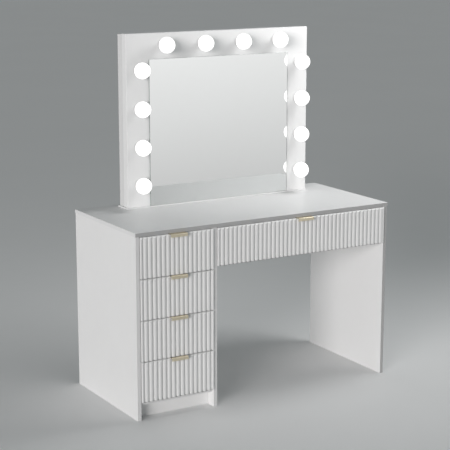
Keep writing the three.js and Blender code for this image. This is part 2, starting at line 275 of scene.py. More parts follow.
def mottled(tree, light, dark, clouds):
    return use_group(tree, MOTTLE, Light=light, Dark=dark, Clouds_per_Metre=clouds)


def set_colour(tree, shader, colour):
    tree.links.new(colour, shader.inputs["Base Color"])


def set_roughness(tree, shader, rough):
    tree.links.new(rough, shader.inputs["Roughness"])


def set_gloss(tree, shader, mask, low, high):
    set_roughness(tree, shader, spread(tree, mask, 0.0, 1.0, low, high))


def set_bump(tree, shader, height, strength, depth):
    sockets = {"Height": height, "Strength": strength, "Distance": depth}
    bump = add_node(tree, "ShaderNodeBump", sockets)
    tree.links.new(bump.outputs["Normal"], shader.inputs["Normal"])


def coated(name, light, dark, clouds, gloss, skin=None, specular=0.5):
    """A plain coat. Its skin is given as pits per metre, unevenness, strength and depth."""
    material, tree, shader = start_finish(name, Specular_IOR_Level=specular)
    tone = mottled(tree, light, dark, clouds)
    set_colour(tree, shader, tone["Colour"])
    set_gloss(tree, shader, tone["Mask"], *gloss)
    if skin:
        pits, unevenness, strength, depth = skin
        grain = use_group(tree, GRAIN, Pits_per_Metre=pits, Unevenness=unevenness)
        set_bump(tree, shader, grain["Height"], strength, depth)
    return material


def grey(light, warmth=0.0):
    return (light + warmth, light, light - warmth, 1.0)


# %% [markdown]
# # White boards
# The carcass is chipboard faced with white melamine paper, and its edges are banded with a thin
# strip of plastic. The face has a fine emboss and is matt, and the band is smoother and glossier.
# Front edges have bands of their own, painted darker than the faces as painted shade, darkest on the top
# and the right side. The mirror's front is painted lighter than the desk as painted light, and the
# wiring box darker as painted shade, so one recipe makes three boards.

# %% Melamine and edge band
def melamine(name, light, clouds, smear_gloss=0.06):
    material, tree, shader = start_finish(name, Specular_IOR_Level=0.42)
    tone = mottled(tree, grey(light), grey(light - 0.02, 0.002), clouds)
    hands = use_group(tree, HANDLING, Smears_per_Metre=9.0, Dust=0.22)
    dusty = blend_colour(tree, hands["Dust"], tone["Colour"], grey(light - 0.09, 0.006))
    set_colour(tree, shader, dusty)
    wiped = product(tree, hands["Smears"], smear_gloss)
    gloss = spread(tree, tone["Mask"], 0.0, 1.0, 0.5, 0.44)
    rough = total(tree, arithmetic(tree, "SUBTRACT", gloss, wiped), hands["Dust"])
    set_roughness(tree, shader, rough)
    pits = use_group(tree, GRAIN, Pits_per_Metre=1100.0, Unevenness=0.5)
    set_bump(tree, shader, pits["Height"], 0.35, 0.00006)
    return material


def edge_band(name, light):
    skin = (260.0, 1.0, 0.15, 0.00005)
    return coated(name, grey(light), grey(light - 0.015), 7.0, (0.36, 0.28), skin)


# The mirror's board is painted lighter than the desk, as painted light, and the wiring box darker, as
# painted shade.
DESK_BOARD = melamine("desk_melamine", 0.83, 3.0)
LIT_MIRROR_BOARD = melamine("painted_light_mirror_melamine", 0.93, 4.0)
SHADED_BOX_BOARD = melamine("painted_shade_box_melamine", 0.74, 5.0)
DESK_BAND = edge_band("desk_edge_band", 0.79)
# The two front bands are painted darker than the other bands, as painted shade on faces that look to the
# front.
DEEP_SHADE_FRONT_BAND = edge_band("deep_shade_front_band", 0.42)
LIGHT_SHADE_FRONT_BAND = edge_band("light_shade_front_band", 0.70)
MIRROR_BAND = edge_band("mirror_edge_band", 0.84)

# %% [markdown]
# # Lacquered flutes
# The fronts are milled from fibreboard and sprayed. The grooves are painted darker towards their
# floors, which is painted shade, while the crowns of the ribs are rubbed slightly smoother. Each front
# carries a number at every point that says how deep in a groove it is, and the finish reads it.
# The top and bottom ends of a front are painted brighter, a painted highlight for the light caught in
# the gaps between fronts.

# %% Sprayed lacquer
def lacquer():
    material, tree, shader = start_finish("sprayed_lacquer", Specular_IOR_Level=0.45)
    tone = mottled(tree, grey(0.77), grey(0.75, 0.002), 5.0)
    depth = add_node(tree, "ShaderNodeAttribute", attribute_name="groove_depth").outputs["Fac"]
    # Painted shade: the grooves are painted darker towards their floors.
    groove_shade = spread(tree, depth, 0.65, 1.0)
    broken_groove_shade = product(tree, groove_shade, spread(tree, tone["Mask"], 0.0, 1.0, 1.0, 0.8))
    set_colour(tree, shader, blend_colour(tree, broken_groove_shade, tone["Colour"], grey(0.70, 0.004)))
    hands = use_group(tree, HANDLING, Smears_per_Metre=18.0)
    crowns = spread(tree, depth, 0.0, 0.3, 0.43, 0.5)
    rubbed = product(tree, hands["Smears"], 0.05)
    set_roughness(tree, shader, arithmetic(tree, "SUBTRACT", crowns, rubbed))
    skin = use_group(tree, GRAIN, Pits_per_Metre=420.0, Unevenness=0.9)
    set_bump(tree, shader, skin["Height"], 0.22, 0.00005)
    return material


LACQUER = lacquer()
# The ends are painted brighter than the lacquer, a painted highlight for the gap lines between fronts.
PAINTED_HIGHLIGHT_ENDS = edge_band("painted_highlight_ends", 0.95)

# %% [markdown]
# # Drawer foil and hardboard
# The folded drawer sides are wrapped in a printed foil with a fine linen emboss. The drawer
# bottoms, the pedestal's back and the mirror's cover are hardboard, painted thinly enough that
# the felted fibres still show. Both use the fibre group, with different lines and contrast.

# %% Foil and hardboard
def lined_sheet(name, light, contrast, lines, crossing, low, high, depth):
    material, tree, shader = start_finish(name, Specular_IOR_Level=0.4)
    tone = mottled(tree, grey(light), grey(light - 0.02, 0.004), 6.0)
    threads = use_group(tree, FIBRES, Lines_per_Metre=lines, Crossing=crossing)
    shade = product(tree, threads["Mask"], contrast)
    set_colour(tree, shader, blend_colour(tree, shade, tone["Colour"], grey(light - 0.25, 0.015)))
    set_gloss(tree, shader, threads["Mask"], low, high)
    set_bump(tree, shader, threads["Height"], 0.4, depth)
    return material


FOIL = lined_sheet("linen_foil", 0.80, 0.16, 1500.0, 1.0, 0.42, 0.55, 0.00008)
HARDBOARD = lined_sheet("painted_hardboard", 0.75, 0.3, 520.0, 0.8, 0.55, 0.75, 0.00015)

# %% [markdown]
# # Metals
# The pulls are aluminium with a pale champagne anodising, brushed along their length. Runners
# and brackets are steel with white powder coat. Screws, cams and lamp caps are plated with zinc.
# Brushing is a noise stretched hard along one direction, which roughens the metal in streaks.

# %% Brushing group
def build_brushing():
    takes = [("Streaks per Metre", VALUE, 1500.0), ("Light", COLOUR, (0.8, 0.7, 0.5, 1.0)),
             ("Dark", COLOUR, (0.7, 0.6, 0.4, 1.0))]
    gives = [("Colour", COLOUR), ("Streaks", VALUE)]
    tree, given = start_group("brushing", takes, gives)
    streaks = stretched_noise(tree, own_place(tree), (0.02, 1.0, 1.0), given["Streaks per Metre"], 3.0)
    mask = spread(tree, streaks, 0.3, 0.7)
    colour = blend_colour(tree, mask, given["Dark"], given["Light"])
    return end_group(tree, Colour=colour, Streaks=mask)


BRUSHING = build_brushing()

# %% Champagne metal, pull ends with painted shade, zinc and powder coat
def brushed_metal(name, light, dark, streaks, low, high):
    material, tree, shader = start_finish(name, Metallic=1.0)
    lines = use_group(tree, BRUSHING, Streaks_per_Metre=streaks, Light=light, Dark=dark)
    set_colour(tree, shader, lines["Colour"])
    hands = use_group(tree, HANDLING, Smears_per_Metre=60.0)
    touched = product(tree, hands["Smears"], 0.1)
    gloss = spread(tree, lines["Streaks"], 0.0, 1.0, low, high)
    set_roughness(tree, shader, total(tree, gloss, touched))
    set_bump(tree, shader, lines["Streaks"], 0.2, 0.00003)
    return material


CHAMPAGNE = brushed_metal("champagne_anodised", (0.93, 0.84, 0.66, 1.0), (0.81, 0.72, 0.54, 1.0),
                          1400.0, 0.30, 0.42)
# The pull ends are painted dark, a painted shade for the hollow behind the lip.
SHADED_PULL_END = brushed_metal("painted_shade_pull_end", (0.27, 0.23, 0.16, 1.0), (0.19, 0.16, 0.11, 1.0),
                         900.0, 0.42, 0.5)
ZINC = brushed_metal("zinc_plate", (0.78, 0.79, 0.80, 1.0), (0.60, 0.61, 0.63, 1.0),
                     900.0, 0.25, 0.38)
POWDER = coated("white_powder_coat", grey(0.80), grey(0.77), 20.0, (0.34, 0.42),
                (650.0, 1.0, 0.5, 0.00012))

# %% [markdown]
# # Mirror, lamps and plastics
# A mirror is float glass silvered on the back, so from the front it acts as polished metal with
# a few faint smears. Its ground edge is the glass's own grey green. The lamps are opal plastic
# lit from inside, and glow a little less near their collars. The small plastics share one recipe.

# %% Mirror, glass edge, opal lamp and plastics
def silvering():
    material, tree, shader = start_finish("silvered_glass", Metallic=1.0)
    tone = mottled(tree, (0.87, 0.885, 0.88, 1.0), (0.86, 0.87, 0.865, 1.0), 3.0)
    set_colour(tree, shader, tone["Colour"])
    hands = use_group(tree, HANDLING, Smears_per_Metre=22.0)
    set_gloss(tree, shader, hands["Smears"], 0.012, 0.035)
    return material


def opal():
    material, tree, shader = start_finish("lit_opal", Roughness=0.3, Emission_Strength=1.0)
    tone = mottled(tree, (0.95, 0.95, 0.94, 1.0), (0.90, 0.90, 0.89, 1.0), 40.0)
    set_colour(tree, shader, tone["Colour"])
    glow = add_node(tree, "ShaderNodeAttribute", attribute_name="lamp_glow").outputs["Fac"]
    lit = blend_colour(tree, glow, (0.55, 0.54, 0.52, 1.0), (1.0, 0.99, 0.97, 1.0))
    tree.links.new(lit, shader.inputs["Emission Color"])
    set_gloss(tree, shader, tone["Mask"], 0.26, 0.32)
    return material


def moulded_plastic(name, light, dark, pits, low, high):
    return coated(name, light, dark, 35.0, (low, high), (pits, 0.4, 0.4, 0.00006))


SILVERING = silvering()
GLASS_EDGE = coated("ground_glass_edge", (0.16, 0.21, 0.19, 1.0), (0.10, 0.14, 0.125, 1.0), 30.0,
                    (0.12, 0.22), specular=0.7)
OPAL = opal()
WHITE_PLASTIC = moulded_plastic("white_plastic", grey(0.82), grey(0.79), 1800.0, 0.30, 0.38)
NYLON = moulded_plastic("nylon", grey(0.72, 0.02), grey(0.68, 0.02), 900.0, 0.40, 0.5)
BLACK_PLASTIC = moulded_plastic("black_plastic", grey(0.035), grey(0.022), 1600.0, 0.38, 0.5)

# %% [markdown]
# # One way to make a solid
# Boards, fluted fronts, folded pulls and runners are all one section pushed along one direction.
# Real edges are never knife sharp, so the section's own corners are rounded when it is drawn and
# the two end edges are rounded as it is pushed: the first and last rings of points are drawn a
# little smaller. The rings are joined into one closed mesh whose faces all look outwards, with no
# modifier and no stray faces.

# %% Prism helpers
END_STEPS = 3


def corner_offsets(loop):
    """For each point of an anticlockwise outline, the step that moves both its sides out by one."""
    steps = []
    for before, point, after in zip(loop[-1:] + loop[:-1], loop, loop[1:] + loop[:1]):
        arriving, leaving = (point - before).normalized(), (after - point).normalized()
        first, second = Vector((arriving.y, -arriving.x)), Vector((leaving.y, -leaving.x))
        middle = (first + second).normalized()
        steps.append(middle / max(middle.dot(first), 0.5))
    return steps


def anticlockwise(outline):
    loop = [Vector(point) for point in outline]
    twice_area = sum(a.x * b.y - a.y * b.x for a, b in zip(loop, loop[1:] + loop[:1]))
    return loop[::-1] if twice_area < 0 else loop


def in_space(flat, along, place):
    spots = {"x": (place, flat.x, flat.y), "y": (flat.x, place, flat.y), "z": (flat.x, flat.y, place)}
    return Vector(spots[along])


def rounding(radius, steps):
    """Pairs of a step inwards and a step along that follow a rounded edge, from its end inwards."""
    turns = [math.pi / 2 * step / steps for step in range(steps + 1)]
    return [(radius * (1 - math.sin(turn)), radius * (1 - math.cos(turn))) for turn in turns]


def join_rings(solid, rings):
    """Puts faces between each ring of points and the next. A ring may be a single point."""
    for lower, upper in zip(rings, rings[1:]):
        sides = max(len(lower), len(upper))
        for side in range(sides):
            after = (side + 1) % sides
            corners = [lower[side % len(lower)], lower[after % len(lower)],
                       upper[after % len(upper)], upper[side % len(upper)]]
            solid.faces.new(list(dict.fromkeys(corners)))


def stacked(rings, along):
    """Joins rings of points, each with its place along an axis, into one closed solid."""
    solid = bmesh.new()
    made = [[solid.verts.new(in_space(point, along, place)) for point in ring] for ring, place in rings]
    join_rings(solid, made)
    solid.faces.new(made[0])
    solid.faces.new(made[-1])
    bmesh.ops.recalc_face_normals(solid, faces=solid.faces)
    if solid.calc_volume(signed=True) < 0:
        bmesh.ops.reverse_faces(solid, faces=solid.faces)
    return solid


def eased_rings(loop, ends):
    """A ring of points for each pair of a step inwards and a place along the axis."""
    corners = list(zip(loop, corner_offsets(loop)))
    return [([point - offset * inset for point, offset in corners], place) for inset, place in ends]


def prism(outline, along, low, high, edge):
    """Pushes an outline along an axis. The outline is (x, y) along z, (x, z) along y, (y, z) along x."""
    ends = rounding(edge, END_STEPS)
    places = [(inset, low + rise) for inset, rise in ends]
    places += [(inset, high - rise) for inset, rise in reversed(ends)]
    return stacked(eased_rings(anticlockwise(outline), places), along)


def rounded(points, radius, steps=3):
    """Rounds every corner of an outline to one radius."""
    smooth = []
    for before, corner, after in zip(points[-1:] + points[:-1], points, points[1:] + points[:1]):
        before, corner, after = Vector(before), Vector(corner), Vector(after)
        back, on = (before - corner).normalized(), (after - corner).normalized()
        half = back.angle(on) / 2
        middle = corner + (back + on).normalized() * radius / math.sin(half)
        first = corner + back * radius / math.tan(half) - middle
        last = corner + on * radius / math.tan(half) - middle
        sweep = math.remainder(math.atan2(last.y, last.x) - math.atan2(first.y, first.x), math.tau)
        for step in range(steps + 1):
            angle = math.atan2(first.y, first.x) + sweep * step / steps
            smooth.append(middle + radius * Vector((math.cos(angle), math.sin(angle))))
    return smooth


def rectangle(low, high):
    return [(low[0], low[1]), (high[0], low[1]), (high[0], high[1]), (low[0], high[1])]


print("prism helpers ready, with", END_STEPS, "steps in each end edge")

# %% [markdown]
# # From mesh to piece
# A finished mesh becomes a piece of the table: it is shaded smooth with its true corners kept
# sharp, it gets its finishes, it is told which body it moves with, and the solids of the frame
# that it stands for are hidden.

# %% Helpers for a piece
SHARP_ANGLE = math.radians(40.0)
made_pieces = []


def mesh_of(name, solid):
    mesh = bpy.data.meshes.new(name)
    solid.to_mesh(mesh)
    solid.free()
    return mesh


def shade(mesh):
    mesh.shade_smooth()
    mesh.set_sharp_from_angle(angle=SHARP_ANGLE)


def add_piece(name, solid, finishes, body, stands_for=()):
    mesh = mesh_of(name, solid)
    shade(mesh)
    for finish in finishes:
        mesh.materials.append(finish)
    piece = put_in_scene(name, mesh)
    shading = piece.modifiers.new("even_shading", "WEIGHTED_NORMAL")
    shading.keep_sharp = True
    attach(piece, body)
    if stands_for:
        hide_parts(*stands_for)
    made_pieces.append(name)
    return piece


def paint_faces(solid, number, chosen):
    for face in solid.faces:
        if chosen(face):
            face.material_index = number


def mark_points(mesh, label, value_at):
    """Writes a number at every point, from how far back the point is, for a finish to read."""
    marks = mesh.attributes.new(label, "FLOAT", "POINT")
    for point, mark in zip(mesh.vertices, marks.data):
        mark.value = value_at(point.co.y)


print("piece helpers ready")

# %% [markdown]
# # The carcass boards
# Eight boards make the desk: the top, three uprights, the pedestal's floor and plinth, and the
# rail behind the knee space, with a hardboard sheet in a groove as the pedestal's back. Each is
# cut with square edges that the edge band leaves rounded to under a millimetre. The faces get
# melamine, the faces round the rim get the glossier band, and front edges get a band painted darker as
# painted shade.

# %% Plain boards
BAND_RADIUS = 0.9 * mm
THIN_AXIS = {0: ("x", 1, 2), 1: ("y", 0, 2), 2: ("z", 0, 1)}
SQUARE_ON = 0.9  # a face looks along an axis when its normal reaches this far along it


def board_from(node, edge=BAND_RADIUS):
    """A board in a node's box, drawn across its two long sides and pushed through its thickness."""
    low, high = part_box(node)
    size = high - low
    thin = min(range(3), key=lambda axis: size[axis])
    along, across, up = THIN_AXIS[thin]
    outline = rounded(rectangle((low[across], low[up]), (high[across], high[up])), edge)
    solid = prism(outline, along, low[thin], high[thin], edge)
    paint_faces(solid, 1, lambda face: abs(face.normal[thin]) < SQUARE_ON)
    return solid


def add_desk_board(name, solid, front_shade_band, node):
    """A board of the carcass. Those of its rim faces that look to the front get a band painted darker,
    as painted shade.
    """
    paint_faces(solid, 2, lambda face: face.normal.y < -SQUARE_ON and face.material_index == 1)
    add_piece(name, solid, [DESK_BOARD, DESK_BAND, front_shade_band], "desk", [node])


# Front bands carry painted shade, darkest on the top and the right side.
PLAIN_BOARDS = (
    ("top_board", "top_panel", DEEP_SHADE_FRONT_BAND),
    ("right_side_board", "right_side_panel", DEEP_SHADE_FRONT_BAND),
    ("pedestal_floor", "pedestal_bottom_panel", LIGHT_SHADE_FRONT_BAND),
    ("plinth", "plinth_board", LIGHT_SHADE_FRONT_BAND),
    ("knee_rail", "knee_back_rail", LIGHT_SHADE_FRONT_BAND),
)
for name, node, front_shade_band in PLAIN_BOARDS:
    add_desk_board(name, board_from(node), front_shade_band, node)
print("plain boards:", len(PLAIN_BOARDS))

# %% Grooved uprights and the pedestal's back
HARDBOARD_EDGE = 0.3 * mm
GROOVE_PLAY = 0.3 * mm


def grooved_board(node, groove_side):
    """An upright in plan, with the groove that holds the pedestal's back sheet in one face."""
    low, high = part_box(node)
    sheet_low, sheet_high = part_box("pedestal_back_panel")
    front, back = sheet_low.y - GROOVE_PLAY, sheet_high.y + GROOVE_PLAY
    face, other = (high.x, low.x) if groove_side > 0 else (low.x, high.x)
    floor = (sheet_low.x - GROOVE_PLAY) if groove_side > 0 else (sheet_high.x + GROOVE_PLAY)
    points = [(other, low.y), (face, low.y), (face, front), (floor, front), (floor, back),
              (face, back), (face, high.y), (other, high.y)]
    solid = prism(rounded(points, BAND_RADIUS / 2), "z", low.z, high.z, BAND_RADIUS / 2)
    paint_faces(solid, 1, lambda rim: abs(rim.normal.x) < SQUARE_ON)
    return solid


UPRIGHTS = (("left_side_board", "left_side_panel", 1), ("divider_board", "divider_panel", -1))
for name, node, side in UPRIGHTS:
    add_desk_board(name, grooved_board(node, side), LIGHT_SHADE_FRONT_BAND, node)

add_piece("pedestal_back_sheet", board_from("pedestal_back_panel", HARDBOARD_EDGE),
          [HARDBOARD, HARDBOARD], "desk", ["pedestal_back_panel"])
print("grooved boards and back sheet done")

# %% [markdown]
# # Cutting and turning
# Two more tools are needed. A cutter takes a slot or a hole out of a piece with a boolean, which
# is then applied, so nothing live is left on it. A lathe turns a profile round an axis for lamps,
# rollers and screws, and can repeat it at many places. A profile point may be marked as cross, and
# its ring is then drawn as the four lobes of a screwdriver recess.

# %% Cutter and lathe
def cut_away(piece, tool):
    cutter = put_in_scene("tool", mesh_of("tool", tool))
    cut = piece.modifiers.new("cut", "BOOLEAN")
    cut.object = cutter
    cut.solver = "MANIFOLD"
    piece.modifiers.move(len(piece.modifiers) - 1, 0)
    shading = piece.modifiers["even_shading"]
    shading.show_viewport = False
    seen = piece.evaluated_get(bpy.context.evaluated_depsgraph_get())
    piece.data = bpy.data.meshes.new_from_object(seen)
    piece.modifiers.remove(cut)
    shading.show_viewport = True
    bpy.data.objects.remove(cutter)
    shade(piece.data)


def cross_share(angle):
    return 0.42 + 0.58 * abs(math.cos(2 * angle)) ** 3


def turned(profile, places, axis, sides=32):
    """Turns (radius, height) points round an axis at each place. Radius 0 closes the form."""
    axis = Vector(axis).normalized()
    across = axis.orthogonal().normalized()
    beside = axis.cross(across)
    solid = bmesh.new()
    for place in places:
        rings = []
        for radius, height, *mark in profile:
            middle = Vector(place) + axis * height
            if radius == 0:
                rings.append([solid.verts.new(middle)])
                continue
            ring = []
            for side in range(sides):
                angle = math.tau * side / sides
                reach = radius * (cross_share(angle) if mark else 1.0)
                turn = across * math.cos(angle) + beside * math.sin(angle)
                ring.append(solid.verts.new(middle + turn * reach))
            rings.append(ring)
        join_rings(solid, rings)
    bmesh.ops.recalc_face_normals(solid, faces=solid.faces)
    return solid


PAN_HEAD = [(0, 0), (0.93, 0), (1.0, 0.12), (0.97, 0.42), (0.82, 0.62), (0.62, 0.7),
            (0.55, 0.71, "cross"), (0.5, 0.25, "cross"), (0.2, 0.1, "cross"), (0, 0.08)]


def scaled(profile, size):
    return [(radius * size, height * size, *mark) for radius, height, *mark in profile]


def add_screws(name, places, axis, radius, body="desk"):
    add_piece(name, turned(scaled(PAN_HEAD, radius), places, axis, 24), [ZINC], body)


print("cutter and lathe ready")

# %% [markdown]
# # Fluted fronts
# Round ribs stand between narrow square grooves, like a row of reeds. A cutter with the ribs'
# radius is run down the board, so one section makes nearly the whole front: every rib is an arc,
# and every groove is a small square channel. A second cutter then rounds the top end over, deeper
# than the grooves, so each rib ends in a small curved tip that catches the light.

# %% Fluted section
FLUTE_PITCH = 20 * mm
FLUTE_MARGIN = 12 * mm
GROOVE_WIDTH = 4 * mm
RIB_CROWN = 2.5 * mm
GROOVE_STEP = 1.5 * mm
RIB_STEPS = 12
FRONT_EDGE = 1.8 * mm
FOOT_EDGE = 0.3 * mm
FRONT_STEPS = 4
HEAD_ROUNDING = 8 * mm
HEAD_STEPS = 6
RELIEF_LEFT = 0.02  # the share of the section's relief that is left where a cutter has passed
END_TILT = 0.2  # faces that look up or down by more than this belong to a front's ends
GROOVE_FLOOR = RIB_CROWN + GROOVE_STEP
RIB_HALF = (FLUTE_PITCH - GROOVE_WIDTH) / 2
RIB_RADIUS = (RIB_HALF**2 + RIB_CROWN**2) / (2 * RIB_CROWN)


def rib_arc(middle, start, stop, steps):
    """Points of a rib's arc, from start to stop across its middle line, at the ribs' radius."""
    first, last = math.asin(start / RIB_RADIUS), math.asin(stop / RIB_RADIUS)
    angles = [first + (last - first) * step / steps for step in range(steps + 1)]
    return [(middle + RIB_RADIUS * math.sin(a), RIB_RADIUS * (1 - math.cos(a))) for a in angles]


def fluted_section(width, thickness):
    """A front's outline seen from above. Its first and last ribs are halves, with a flat edge."""
    grooves = int((width - 2 * FLUTE_MARGIN) / FLUTE_PITCH + 0.01) + 1
    easing = rounding(FRONT_EDGE, FRONT_STEPS)
    points = [(0, thickness)] + [(x, y) for y, x in reversed(easing)]
    for index in range(grooves):
        middle = FLUTE_MARGIN + index * FLUTE_PITCH
        start, steps = (0.0, RIB_STEPS // 2) if index == 0 else (-RIB_HALF, RIB_STEPS)
        points += rib_arc(middle - FLUTE_PITCH / 2, start, RIB_HALF, steps)
        points += [(middle - GROOVE_WIDTH / 2, GROOVE_FLOOR), (middle + GROOVE_WIDTH / 2, GROOVE_FLOOR)]
    last = FLUTE_MARGIN + (grooves - 0.5) * FLUTE_PITCH
    points += rib_arc(last, -RIB_HALF, 0.0, RIB_STEPS // 2)
    points += [(width - x, y) for y, x in easing] + [(width, thickness)]
    return points, grooves


section, grooves = fluted_section(324 * mm, 18 * mm)
print("a front 324 mm wide has", grooves, "grooves and", len(section), "points in its section")

# %% Make the five fronts
DRAWERS = ["drawer_1", "drawer_2", "drawer_3", "drawer_4", "wide_drawer"]
SLOT_PLAY = Vector((0.3, 0.3, 0.3)) * mm
TOOL_EDGE = 0.01 * mm
DEEPEST = 1.05  # points further in than this share of the grooves' depth are behind the relief


def groove_depth(into):
    return into if into < DEEPEST else 0.0


def round_headed(outline, low, high):
    """Pushes the section up, and then runs the rounding cutter along the front's top end."""
    loop = anticlockwise(outline)
    foot = [(inset, low.z + rise) for inset, rise in rounding(FOOT_EDGE, END_STEPS)]
    rings = eased_rings(loop, foot)
    for depth, drop in reversed(rounding(HEAD_ROUNDING, HEAD_STEPS)):
        reach = low.y + depth
        ring = [Vector((p.x, max(p.y, reach - (reach - p.y) * RELIEF_LEFT))) for p in loop]
        rings.append((ring, high.z - drop))
    return stacked(rings, "z")


def fluted_front(drawer):
    low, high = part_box(f"{drawer}_front")
    section, grooves = fluted_section(high.x - low.x, high.y - low.y)
    outline = [(low.x + x, low.y + y) for x, y in section]
    solid = round_headed(outline, low, high)
    # The ends take the brighter band, which is a painted highlight.
    paint_faces(solid, 1, lambda face: abs(face.normal.z) > END_TILT)
    front = add_piece(f"{drawer}_fluted_front", solid, [LACQUER, PAINTED_HIGHLIGHT_ENDS], drawer,
                      [f"{drawer}_front"])
    sheet_low, sheet_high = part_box(f"{drawer}_bottom")
    slot_low, slot_high = sheet_low - SLOT_PLAY, sheet_high + SLOT_PLAY
    tool = prism(rectangle((slot_low.x, slot_low.y), (slot_high.x, slot_high.y)), "z",
                 slot_low.z, slot_high.z, TOOL_EDGE)
    cut_away(front, tool)
    mark_points(front.data, "groove_depth", lambda y: groove_depth((y - low.y) / GROOVE_FLOOR))
    return grooves


for drawer in DRAWERS:
    print(drawer, "front:", fluted_front(drawer), "grooves")

# %% [markdown]
# # Edge pulls
# Each pull is one strip of metal, bent three ways: a lip that hangs in front of the ribs, a flat
# web on top of the front, and a leg behind it for two screws. It is drawn as the real strip is,
# by its middle line with a bend at each corner, and given the sheet's thickness on both sides.

# %% Bent strip
def bent_strip(path, thickness, radius, steps=6):
    """An outline round a path of sheet metal. The path's corners become round bends."""
    line = [Vector(path[0])]
    for before, corner, after in zip(path, path[1:], path[2:]):
        before, corner, after = Vector(before), Vector(corner), Vector(after)
        back, on = (before - corner).normalized(), (after - corner).normalized()
        reach = radius / math.tan(back.angle(on) / 2)
        start, end = corner + back * reach, corner + on * reach
        for step in range(steps + 1):
            share = step / steps
            line.append(start * (1 - share) ** 2 + corner * 2 * share * (1 - share) + end * share**2)
    line.append(Vector(path[-1]))
    sides = []
    for index, point in enumerate(line):
        heading = (line[min(index + 1, len(line) - 1)] - line[max(index - 1, 0)]).normalized()
        across = Vector((-heading.y, heading.x)) * thickness / 2
        sides.append((point + across, point - across))
    return [left for left, right in sides] + [right for left, right in reversed(sides)]


PULL_SHEET = 1.5 * mm
PULL_BEND = 1.75 * mm
PULL_LIP = 11 * mm
PULL_EDGE = 0.2 * mm
PULL_SCREW_ASIDE = 22 * mm
PULL_SCREW_ABOVE = 7 * mm  # above the leg's lower end
PULL_SCREW = 3.2 * mm


def edge_pull(drawer):
    low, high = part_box(f"{drawer}_pull")
    half = PULL_SHEET / 2
    web = high.z - half
    lip_end = high.z - PULL_SHEET - PULL_LIP
    path = [(low.y + half, lip_end), (low.y + half, web), (high.y - half, web), (high.y - half, low.z)]
    outline = bent_strip(path, PULL_SHEET, PULL_BEND)
    solid = prism(outline, "x", low.x, high.x, PULL_EDGE)
    # The end faces take the dark finish, which is painted shade.
    paint_faces(solid, 1, lambda face: abs(face.normal.x) > 0.5)
    add_piece(f"{drawer}_edge_pull", solid, [CHAMPAGNE, SHADED_PULL_END], drawer,
              [f"{drawer}_pull"])
    middle, height = (low.x + high.x) / 2, low.z + PULL_SCREW_ABOVE
    spots = [(middle + side * PULL_SCREW_ASIDE, high.y, height) for side in (-1, 1)]
    add_screws(f"{drawer}_pull_screws", spots, (0, 1, 0), PULL_SCREW, drawer)


for drawer in DRAWERS:
    edge_pull(drawer)
print("edge pulls:", len(DRAWERS), "each with two screws")

# %% [markdown]
# # Drawer boxes
# The sides and the back of each box are one foil-wrapped board, grooved and folded like a cover,
# with a hardboard bottom slid into the groove. The frame's solid already has the groove, so its
# mesh is copied, its flat faces are joined again, and its edges are eased. Zinc cams pull the
# front against the sides.

# %% Eased copies
SAME_POINT = 0.001 * mm
FLAT_TURN, CORNER_TURN = 0.01, 0.5  # below the first an edge is no edge, above the second a corner


def eased_copy(node, edge):
    solid = bmesh.new()
    solid.from_mesh(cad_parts[node].data)
    bmesh.ops.remove_doubles(solid, verts=solid.verts, dist=SAME_POINT)
    bmesh.ops.dissolve_limit(solid, angle_limit=FLAT_TURN, verts=solid.verts, edges=solid.edges)
    corners = [e for e in solid.edges if e.is_manifold and e.calc_face_angle() > CORNER_TURN]
    bmesh.ops.bevel(solid, geom=corners, offset=edge, segments=2, profile=0.5,
                    affect="EDGES", clamp_overlap=True)
    bmesh.ops.recalc_face_normals(solid, faces=solid.faces)
    return solid


BOX_EDGE = 0.5 * mm
BOX_SIDE = 12 * mm
CAM_BEHIND = 34 * mm  # how far the cams sit behind the front ends of the sides
CAM = [(0, 0), (7.2, 0), (7.5, 0.2), (7.5, 0.5), (6.9, 0.75), (4.0, 0.75),
       (3.6, 0.75, "cross"), (3.2, -1.2, "cross"), (0, -1.2)]


def drawer_box(drawer):
    add_piece(f"{drawer}_folded_box", eased_copy(f"{drawer}_box", BOX_EDGE), [FOIL], drawer,
              [f"{drawer}_box"])
    add_piece(f"{drawer}_bottom_sheet", board_from(f"{drawer}_bottom", HARDBOARD_EDGE),
              [HARDBOARD, HARDBOARD], drawer, [f"{drawer}_bottom"])
    low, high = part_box(f"{drawer}_box")
    heights = (low.z + 34 * mm, high.z - 20 * mm)
    for side, x, facing in (("left", low.x + BOX_SIDE, 1), ("right", high.x - BOX_SIDE, -1)):
        cams = turned(scaled(CAM, mm), [(x, low.y + CAM_BEHIND, z) for z in heights], (facing, 0, 0))
        add_piece(f"{drawer}_cams_{side}", cams, [ZINC], drawer)


for drawer in DRAWERS:
    drawer_box(drawer)
print("drawer boxes:", len(DRAWERS))

# %% [markdown]
# # Roller runners
# Each side of a drawer runs on two folded steel rails. The cabinet's rail is a channel with a
# nylon roller at its front end. The drawer's rail sits under the box side, rests on that roller
# by an outward flange, and has its own roller at the back, which rolls inside the channel. The
# frame holds the cabinet's rail. The drawer's rail and the rollers are added here, each on the
# body that it moves with.

# %% Rails and rollers
CHANNEL_SHEET = 1.5 * mm
CHANNEL_LIP = 4 * mm
CHANNEL_BEND = 0.4 * mm
RAIL_SHEET = 1.2 * mm
RAIL_END = 0.3 * mm
RAIL_HOLES = (37 * mm, 165 * mm, 388 * mm)  # behind the rail's front end
RAIL_SCREW = 2.1 * mm
ROLLER = [(0, -2.3), (2.6, -2.3), (3.0, -1.9), (3.0, -1.6), (7.2, -1.6), (7.9, -1.2), (8.1, 0),
          (7.9, 1.2), (7.2, 1.6), (3.0, 1.6), (3.0, 1.9), (2.6, 2.3), (0, 2.3)]


def add_roller(name, place, body):
    add_piece(name, turned(scaled(ROLLER, mm), [place], (1, 0, 0)), [NYLON], body)


